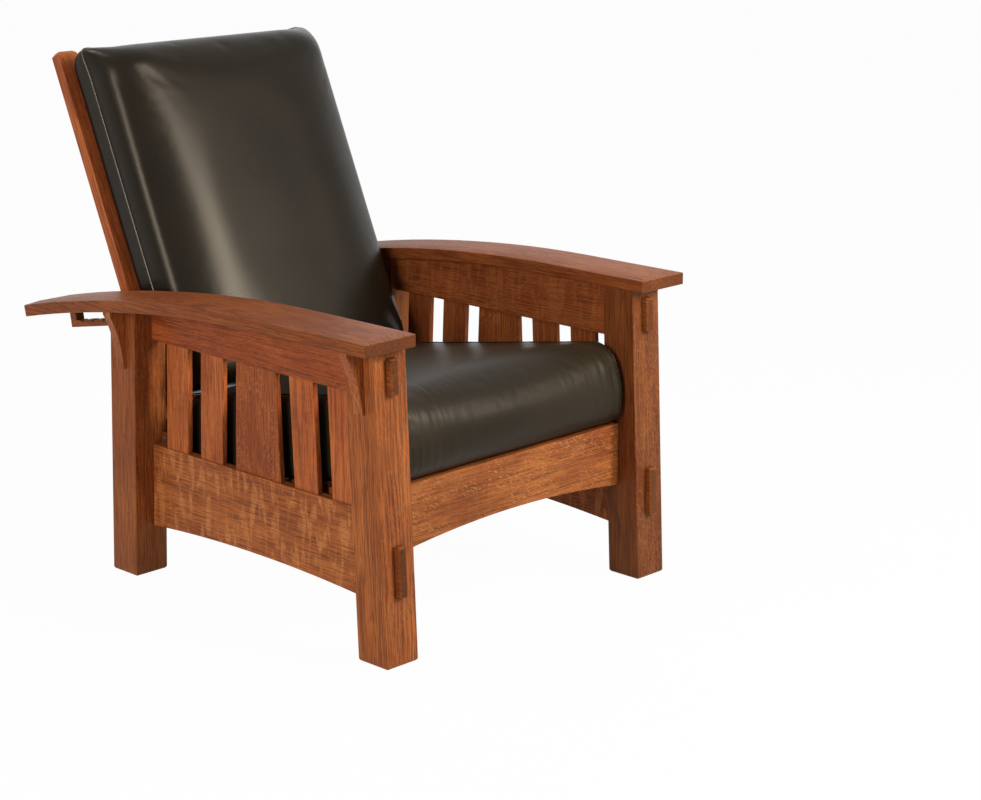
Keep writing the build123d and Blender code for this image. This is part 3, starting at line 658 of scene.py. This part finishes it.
# %% A soft outline and a loft across the chair
def soft_outline(a_ends, b_ends, radii, swells, corner_steps=8, side_steps=16):
    """Four elliptical corners and four sides that swell, as a closed list of points."""
    (a0, a1), (b0, b1) = a_ends, b_ends
    corners = [(a0, b0, 1, 1), (a0, b1, 1, -1), (a1, b1, -1, -1), (a1, b0, -1, 1)]
    arcs = []
    for number, (corner, radius) in enumerate(zip(corners, radii)):
        a, b, turn_a, turn_b = corner
        radius_a, radius_b = radius
        middle_a, middle_b = a + turn_a * radius_a, b + turn_b * radius_b
        arc = []
        for step in range(corner_steps + 1):
            turn = pi / 2 * step / corner_steps
            arc.append((middle_a - turn_a * radius_a * sin(turn),
                        middle_b - turn_b * radius_b * cos(turn)))
        arcs.append(arc if number % 2 == 0 else arc[::-1])
    points = []
    outward = [(-1, 0), (0, 1), (1, 0), (0, -1)]
    for number, (arc, (out_a, out_b), swell) in enumerate(zip(arcs, outward, swells)):
        points += arc
        (a_from, b_from), (a_to, b_to) = arc[-1], arcs[(number + 1) % 4][0]
        for step in range(1, side_steps):
            share = step / side_steps
            rise = swell * 4 * share * (1 - share)
            points.append((a_from + (a_to - a_from) * share + out_a * rise,
                           b_from + (b_to - b_from) * share + out_b * rise))
    return points


def loft_across(name, place, outline, half, side, end_inset, end_thin, crown,
                middle_steps=14, end_steps=6):
    """Rings of points from end to end, closed by panels that shrink to their middle."""
    seam = half - side
    crown = 0.0    # the cloth raises its own crown
    stations = []
    for step in range(middle_steps + 1):
        share = step / middle_steps
        stations.append((seam * share, 0.0, 0.0, crown * (1 - share ** 2) ** 0.8))
    for step in range(1, end_steps + 1):
        turn = pi / 2 * step / end_steps
        drawn = 1 - cos(turn)
        stations.append((seam + side * sin(turn), end_inset * drawn, end_thin * drawn, 0.0))
    mirrored = [(-x, inset, thin, rise) for x, inset, thin, rise in stations[:0:-1]]
    mesh = bmesh.new()
    rings = []
    for x, inset, thin, rise in mirrored + stations:
        rings.append([mesh.verts.new(place(x, a, b)) for a, b in outline(inset, thin, rise)])
    count = len(rings[0])

    def band(first, second):
        for i in range(count):
            j = (i + 1) % count
            mesh.faces.new((first[i], first[j], second[j], second[i]))

    for first, second in zip(rings, rings[1:]):
        band(first, second)
    for ring in (rings[0], rings[-1]):
        middle = sum((v.co for v in ring), Vector()) / count
        outer = ring
        for shrink in (0.75, 0.5, 0.25):
            inner = [mesh.verts.new(middle + (v.co - middle) * shrink) for v in ring]
            band(outer, inner)
            outer = inner
        mesh.faces.new(outer)
    bmesh.ops.recalc_face_normals(mesh, faces=mesh.faces)
    data = bpy.data.meshes.new(name)
    mesh.to_mesh(data)
    mesh.free()
    print(name, "loft", len(data.vertices), "points")
    return placed(name, data)


# %% Cloth that swells between its seams
def settled(piece):
    """The piece's mesh with its modifiers applied, which replaces the old one."""
    graph = bpy.context.evaluated_depsgraph_get()
    mesh = bpy.data.meshes.new_from_object(piece.evaluated_get(graph))
    piece.modifiers.clear()
    old, piece.data = piece.data, mesh
    bpy.data.meshes.remove(old)


def calmed(piece, passes):
    """Smooth the cover a little, this many times."""
    smooth = piece.modifiers.new("calm", "SMOOTH")
    smooth.factor = 0.5
    smooth.iterations = passes
    settled(piece)


def remeshed(piece, voxel=6 * mm, passes=4):
    """The same shape in small faces of one size, which cloth needs."""
    modifier = piece.modifiers.new("even", "REMESH")
    modifier.mode = "VOXEL"
    modifier.voxel_size = voxel
    modifier.use_smooth_shade = True
    calmed(piece, passes)


def blown_up(piece, held, calm=3, pressure=4.0, extra=0.001, frames=20, cap=24 * mm):
    """Inflate the cover as cloth; held(point) is 1 where a seam or a support holds it.

    extra is the share by which the cloth is larger than the foam. No point moves further
    than cap.
    """
    start = [v.co.copy() for v in piece.data.vertices]
    group = piece.vertex_groups.new(name="held")
    for v in piece.data.vertices:
        group.add([v.index], held(v.co), "REPLACE")
    cloth = piece.modifiers.new("cover", "CLOTH")
    settings = cloth.settings
    settings.quality = 3
    settings.mass = 0.35
    settings.tension_stiffness = settings.compression_stiffness = 80
    settings.shear_stiffness = 40
    settings.bending_stiffness = 2.0
    settings.tension_damping = settings.compression_damping = settings.shear_damping = 20
    settings.air_damping = 5
    settings.use_pressure = True
    settings.uniform_pressure_force = pressure
    settings.shrink_min = -extra
    settings.vertex_group_mass = "held"
    settings.effector_weights.gravity = 0
    cloth.point_cache.frame_start = 1
    cloth.point_cache.frame_end = frames
    scene = bpy.context.scene
    for number in range(1, frames + 1):
        scene.frame_set(number)
    settled(piece)
    scene.frame_set(1)
    moved = 0.0
    for v, before in zip(piece.data.vertices, start):
        step = v.co - before
        if step.length > cap:
            v.co = before + step.normalized() * cap
        moved = max(moved, (v.co - before).length)
    piece.vertex_groups.clear()
    calmed(piece, calm)
    print(piece.name, "moved up to", round(moved, 4))


def finer(piece):
    """Four faces for each, for creases narrower than the cloth's own weave."""
    subdivision = piece.modifiers.new("finer", "SUBSURF")
    subdivision.levels = subdivision.render_levels = 1
    settled(piece)


crease_falls = 2.7      # how many times weaker an effect is at the end of its reach


def pushed_out(piece, rise):
    """Move each point along its normal by rise(point)."""
    normals = [v.normal.copy() for v in piece.data.vertices]
    for v, normal in zip(piece.data.vertices, normals):
        v.co += normal * rise(v.co)
    piece.data.update()


def wrinkled(piece, strength, depth, spacing, length):
    """Fine wrinkles side by side across the chair, as deep as strength(point) allows."""
    def rise(point):
        run = (point.y + point.z) / length
        crease = noise.noise(Vector((point.x / spacing, run, 0.7)))
        crease += 0.6 * noise.noise(Vector((point.x / spacing * 2.1, run * 1.7, 4.2)))
        return depth * strength(point) * crease

    pushed_out(piece, rise)


def puckered(piece, seam_distance, depth, reach, wave, start=4 * mm):
    """Small creases that run away from a seam and die out with distance."""
    def rise(point):
        away, along_seam = seam_distance(point)
        if away > 3 * reach:
            return 0.0
        crease = noise.noise(Vector((along_seam / wave, away / (6 * wave), 0.3)))
        crease += 0.5 * noise.noise(Vector((along_seam / wave * 2.3, away / (4 * wave), 5.1)))
        fading = min(1.0, away / start) * crease_falls ** (-away / reach)
        return depth * crease * fading

    pushed_out(piece, rise)


def finished(piece, body, fill, cover, *replaced):
    """Smooth shading, leather, and its place on the chair."""
    shade(piece)
    put_on(piece, cover)
    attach(piece, body)
    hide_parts(*replaced)


# %% Cords along seams
def seam_line(piece, point, direction):
    """The closed line in which a plane cuts the cover, in order, evenly spaced."""
    cut = bmesh.new()
    cut.from_mesh(piece.data)
    found = bmesh.ops.bisect_plane(cut, geom=cut.verts[:] + cut.edges[:] + cut.faces[:],
                                   plane_co=point, plane_no=direction)
    edges = [item for item in found["geom_cut"] if isinstance(item, bmesh.types.BMEdge)]
    links = {}
    for edge in edges:
        first, second = edge.verts
        links.setdefault(first, []).append(second)
        links.setdefault(second, []).append(first)
    loops, seen = [], set()
    for start in sorted(links, key=lambda v: (round(v.co.z, 6), round(v.co.x, 6))):
        if start in seen:
            continue
        line, current = [], start
        while current is not None and current not in seen:
            seen.add(current)
            line.append(current.co.copy())
            current = next((v for v in links[current] if v not in seen), None)
        loops.append(line)
    cut.free()
    return evenly(max(loops, key=len))


def evenly(line, spacing=5 * mm, passes=6):
    """The closed line smoothed and walked in even steps."""
    for _ in range(passes):
        count = len(line)
        line = [(line[i - 1] + line[i] * 2 + line[(i + 1) % count]) / 4 for i in range(count)]
    ends = line + line[:1]
    total = sum((b - a).length for a, b in zip(ends, ends[1:]))
    steps = max(8, round(total / spacing))
    walked, points, target = 0.0, [], 0.0
    for a, b in zip(ends, ends[1:]):
        length = (b - a).length
        while target <= walked + length and len(points) < steps:
            points.append(a.lerp(b, (target - walked) / max(length, 1e-9)))
            target += total / steps
        walked += length
    return points


def cord(name, lines, radius, material, body):
    """A round cord sewn along each closed line."""
    curve = bpy.data.curves.new(name, "CURVE")
    curve.dimensions = "3D"
    curve.bevel_depth = radius
    curve.bevel_resolution = 3
    for line in lines:
        spline = curve.splines.new("POLY")
        spline.points.add(len(line) - 1)
        for place, point in zip(line, spline.points):
            point.co = (*place, 1)
        spline.use_cyclic_u = True
    drawn = placed(name + "_line", curve)
    graph = bpy.context.evaluated_depsgraph_get()
    mesh = bpy.data.meshes.new_from_object(drawn.evaluated_get(graph))
    bpy.data.objects.remove(drawn)
    piece = placed(name, mesh)
    shade(piece)
    put_on(piece, material)
    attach(piece, body)
    print(name, len(mesh.vertices), "points")


# %% Seat cushion
seat_rear, seat_nose, seat_height = 593 * mm, 52 * mm, 166 * mm
seat_half, seat_side = 301.5 * mm, 12 * mm
seat_seam = seat_half - seat_side           # where the end panels are sewn on
seat_shrink = 4 * mm


def seat_outline(inset, thin, rise):
    """The cushion from the side, drawn in and made thinner towards its ends."""
    low, high = thin, seat_height - thin - seat_shrink
    front = -seat_nose + inset + seat_shrink
    rear = seat_rear - inset - seat_shrink
    front_low = rear_low = (44 * mm, 44 * mm)
    front_top, rear_top = (56 * mm, 56 * mm), (110 * mm, 62 * mm)
    return soft_outline((front, rear), (low, high), [front_low, front_top, rear_top, rear_low],
                        [4 * mm, rise, 3 * mm, 0.0])


def seat_offsets(point):
    """How far back along the seat and above its slats a point lies."""
    offset = point - seat_origin
    return (offset.y * cos(seat_slope) - offset.z * sin(seat_slope),
            offset.y * sin(seat_slope) + offset.z * cos(seat_slope))


def held_seat(point, grip=7 * mm, end_from=5 * mm, under=2 * mm):
    """The end seams, what lies beyond them and the underside don't move."""
    near_seam = 1.0 - min(1.0, abs(abs(point.x) - seat_seam) / grip)
    beyond = 1.0 if abs(point.x) > seat_seam + end_from else 0.0
    return max(near_seam, beyond, 1.0 if seat_offsets(point)[1] < under else 0.0)


def seat_wrinkles(point, plain=60 * mm, widening=220 * mm, nose=170 * mm, fading=150 * mm,
                  least=0.12):
    """The wrinkles are on the nose, and deepest towards its ends."""
    back, above = seat_offsets(point)
    towards_end = min(1.0, max(0.0, (abs(point.x) - plain) / widening))
    on_nose = min(1.0, max(0.0, (nose - back) / fading)) if above > 3 * mm else 0.0
    return (least + (1 - least) * towards_end ** 2) * on_nose


def from_seat_seam(point):
    """Distance from the nearer end seam, and how far round the cushion it is."""
    back, above = seat_offsets(point)
    return max(0.0, seat_seam - abs(point.x)), above - back + point.x


seat_cushion = loft_across("seat_cushion_cover", seat_place, seat_outline, seat_half,
                           seat_side, end_inset=13 * mm, end_thin=15 * mm, crown=10 * mm)
remeshed(seat_cushion)
blown_up(seat_cushion, held_seat)
finer(seat_cushion)
puckered(seat_cushion, from_seat_seam, depth=0.8 * mm, reach=20 * mm, wave=9 * mm)
wrinkled(seat_cushion, seat_wrinkles, depth=1.3 * mm, spacing=15 * mm, length=110 * mm)
finished(seat_cushion, "chair_frame", 0.85, soft_leather, "seat_cushion")
seat_seams = [seam_line(seat_cushion, Vector((side * seat_seam, 0, 0)), across)
              for side in (-1, 1)]
cord("seat_welts", seat_seams, 2.0 * mm, leather, "chair_frame")
print("seat cushion", len(seat_cushion.data.vertices))

# %% Back cushion
back_low, back_high, back_depth = 104.8 * mm, 818 * mm, 155 * mm
back_half, back_side, back_welt = 285 * mm, 92 * mm, 62 * mm
front_thin_share = 4.4      # how much more the front is drawn in at the sides than the rear
back_gap = 0.4 * mm
back_shrink = 3 * mm


def back_outline(inset, thin, rise):
    """The cushion from the side, drawn in and made thinner towards its ends."""
    low, high = back_low + inset, back_high - inset
    rear, front = back_gap + thin, back_depth - thin * front_thin_share - back_shrink
    squeeze = 1 - (1 + front_thin_share) * thin / back_depth
    behind = (28 * mm, back_welt * squeeze)
    ahead_low = (36 * mm, 36 * mm * squeeze)
    ahead_top = (60 * mm, 86 * mm * squeeze)
    return soft_outline((low, high), (rear, front), [behind, ahead_low, ahead_top, behind],
                        [2 * mm, rise, 0.0, 0.0])


def back_offsets(point):
    """How far up the posts and forward of them a point lies."""
    offset = point - pivot
    return offset.dot(back_up), offset.dot(back_forward) - post_half


def from_edges(point):
    """How far inward of the cushion's sides and below its top a point lies."""
    return back_half - abs(point.x), back_high - back_offsets(point)[0]


def held_back(point, grip=20 * mm, behind=6 * mm):
    """The sides, the top and the panel that lies on the posts don't move."""
    inward, below = from_edges(point)
    side = max(0.0, 1.0 - inward / grip)
    top = max(0.0, 1.0 - below / grip)
    return min(1.0, max(side, top, 1.0 if back_offsets(point)[1] < behind else 0.0))


def with_ears(piece, rise=12 * mm, reach=34 * mm, sideways=0.5, forward_share=0.6):
    """The sewn corners at the top stand out a little, like ears."""
    for v in piece.data.vertices:
        side, top = from_edges(v.co)
        from_welt = (back_offsets(v.co)[1] - back_welt) * forward_share
        distance = side * side + top * top + from_welt * from_welt
        ear = crease_falls ** (-distance / (reach * reach))
        outward = Vector((sideways if v.co.x > 0 else -sideways, 0, 0)) + back_up
        v.co += outward * (rise * ear)


def from_back_welt(point, forward_share=0.7):
    """Distance from the welt at the sides and the top, and how far round it is."""
    height, forward = back_offsets(point)
    side, top = from_edges(point)
    inward = min(side, max(0.0, top))
    return (max(0.0, inward) + abs(forward - back_welt) * forward_share,
            height if side < top else point.x)


back_cushion = loft_across("back_cushion_cover", back_place, back_outline, back_half,
                           back_side, end_inset=6 * mm, end_thin=14 * mm, crown=10 * mm)
remeshed(back_cushion)
blown_up(back_cushion, held_back, calm=10)
finer(back_cushion)
with_ears(back_cushion)
puckered(back_cushion, from_back_welt, depth=0.7 * mm, reach=20 * mm, wave=14 * mm)
finished(back_cushion, "back_frame", 0.85, leather, "back_cushion")
back_seam = seam_line(back_cushion, back_place(0, 0, back_welt), back_forward)
cord("back_welt", [back_seam], 2.6 * mm, welt_leather, "back_frame")
print("back cushion", len(back_cushion.data.vertices))
